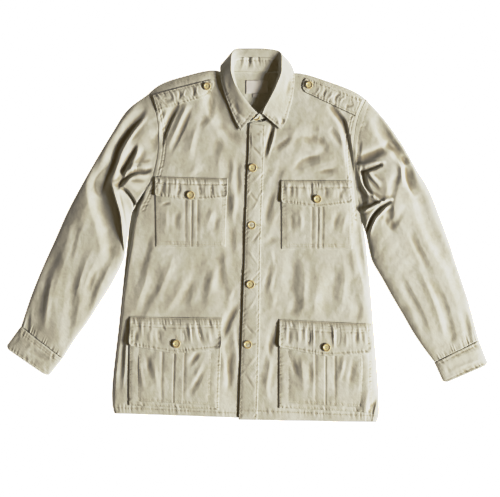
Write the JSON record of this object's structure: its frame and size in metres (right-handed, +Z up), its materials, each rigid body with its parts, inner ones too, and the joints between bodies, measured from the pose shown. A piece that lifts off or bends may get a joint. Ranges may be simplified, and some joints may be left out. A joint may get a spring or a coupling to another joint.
{
  "type": "safari jacket",
  "caption": "Cotton safari jacket laid flat face up, buttoned, with shirt collar, shoulder straps, flapped chest pockets and bellows lower pockets.",
  "frame": {"origin": "centre of the bounding box at its bottom, on the surface that the jacket lies on", "axes": "+Z up, away from the surface; +Y from the hem to the collar; +X to the wearer's left, which is on the right seen from above"},
  "size_m": [1.0635, 0.8232, 0.0286],
  "materials": {
    "cloth": "garment-washed cotton twill, stone, matt, puckered along its seams",
    "label": "plain woven tape, white, no lettering",
    "buttons": "pale yellow corozo nut, semi-gloss, with a rim and four holes"
  },
  "bodies": {
    "root": {"back": "cloth", "front_right": "cloth", "front_left": "cloth", "placket": "cloth", "sleeve_right": "cloth", "sleeve_left": "cloth", "cuff_right": "cloth", "cuff_left": "cloth", "collar_stand": "cloth", "collar_leaf": "cloth", "pocket_chest_right": "cloth", "pocket_chest_left": "cloth", "flap_chest_right": "cloth", "flap_chest_left": "cloth", "gusset_lower_right": "cloth", "gusset_lower_left": "cloth", "pocket_lower_right": "cloth", "pocket_lower_left": "cloth", "flap_lower_right": "cloth", "flap_lower_left": "cloth", "epaulette_right": "cloth", "epaulette_left": "cloth", "neck_label": "label", "size_tab": "label", "button_collar": "buttons", "button_front_1": "buttons", "button_front_2": "buttons", "button_front_3": "buttons", "button_front_4": "buttons", "button_chest_right": "buttons", "button_chest_left": "buttons", "button_lower_right": "buttons", "button_lower_left": "buttons", "button_shoulder_right": "buttons", "button_shoulder_left": "buttons"}
  },
  "joints": []
}
